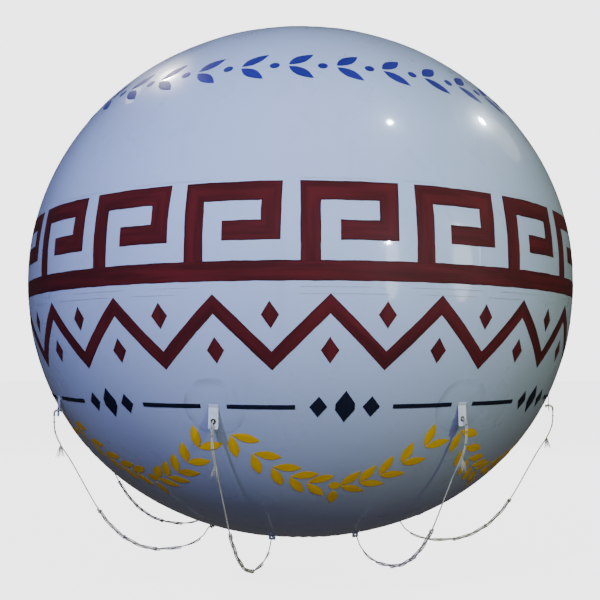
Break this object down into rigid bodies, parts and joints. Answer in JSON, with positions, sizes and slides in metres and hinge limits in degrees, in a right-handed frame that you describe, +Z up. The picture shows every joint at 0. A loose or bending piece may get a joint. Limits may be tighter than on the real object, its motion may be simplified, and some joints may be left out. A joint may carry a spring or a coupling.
{
  "type": "advertising sky balloon",
  "caption": "Oblate helium balloon of welded gores with load tabs, eyelets, slack load lines and a capped base valve.",
  "frame": {"origin": "the envelope's centre, where its axis meets the plane of its widest circle", "axes": "+Z up along the axis from the base valve to the crown, -Y the front, +X to the right seen from the front"},
  "size_m": [3.6614, 3.6614, 3.4567],
  "materials": {
    "envelope": "glossy coated fabric",
    "patch": "glossy coated fabric",
    "tab": "satin coated fabric",
    "eyelet": "dark oxidised",
    "line": "twisted rope",
    "valve": "moulded",
    "valve_cap": "moulded"
  },
  "bodies": {
    "balloon": {"gore_01": "envelope", "gore_02": "envelope", "gore_03": "envelope", "gore_04": "envelope", "gore_05": "envelope", "gore_06": "envelope", "gore_07": "envelope", "gore_08": "envelope", "gore_09": "envelope", "gore_10": "envelope", "gore_11": "envelope", "gore_12": "envelope", "gore_13": "envelope", "gore_14": "envelope", "gore_15": "envelope", "gore_16": "envelope", "crown_patch": "patch", "base_patch": "patch", "load_tab_1": "tab", "load_tab_2": "tab", "load_tab_3": "tab", "load_tab_4": "tab", "load_tab_5": "tab", "load_tab_6": "tab", "load_tab_7": "tab", "load_tab_8": "tab", "keeper_tab_1": "tab", "keeper_tab_2": "tab", "keeper_tab_3": "tab", "keeper_tab_4": "tab", "keeper_tab_5": "tab", "keeper_tab_6": "tab", "keeper_tab_7": "tab", "keeper_tab_8": "tab", "eyelet_1": "eyelet", "eyelet_2": "eyelet", "eyelet_3": "eyelet", "eyelet_4": "eyelet", "eyelet_5": "eyelet", "eyelet_6": "eyelet", "eyelet_7": "eyelet", "eyelet_8": "eyelet", "load_line_1": "line", "load_line_2": "line", "load_line_3": "line", "load_line_4": "line", "load_line_5": "line", "load_line_6": "line", "load_line_7": "line", "load_line_8": "line", "valve_body": "valve"},
    "valve_cap": {"valve_cap": "valve_cap"}
  },
  "joints": [
    {"name": "valve_cap_hinge", "type": "hinge", "parent": "balloon", "child": "valve_cap", "pos_m": [0, 0.06, -1.73955], "axis": [1, 0, 0], "range_deg": [0, 150]}
  ]
}
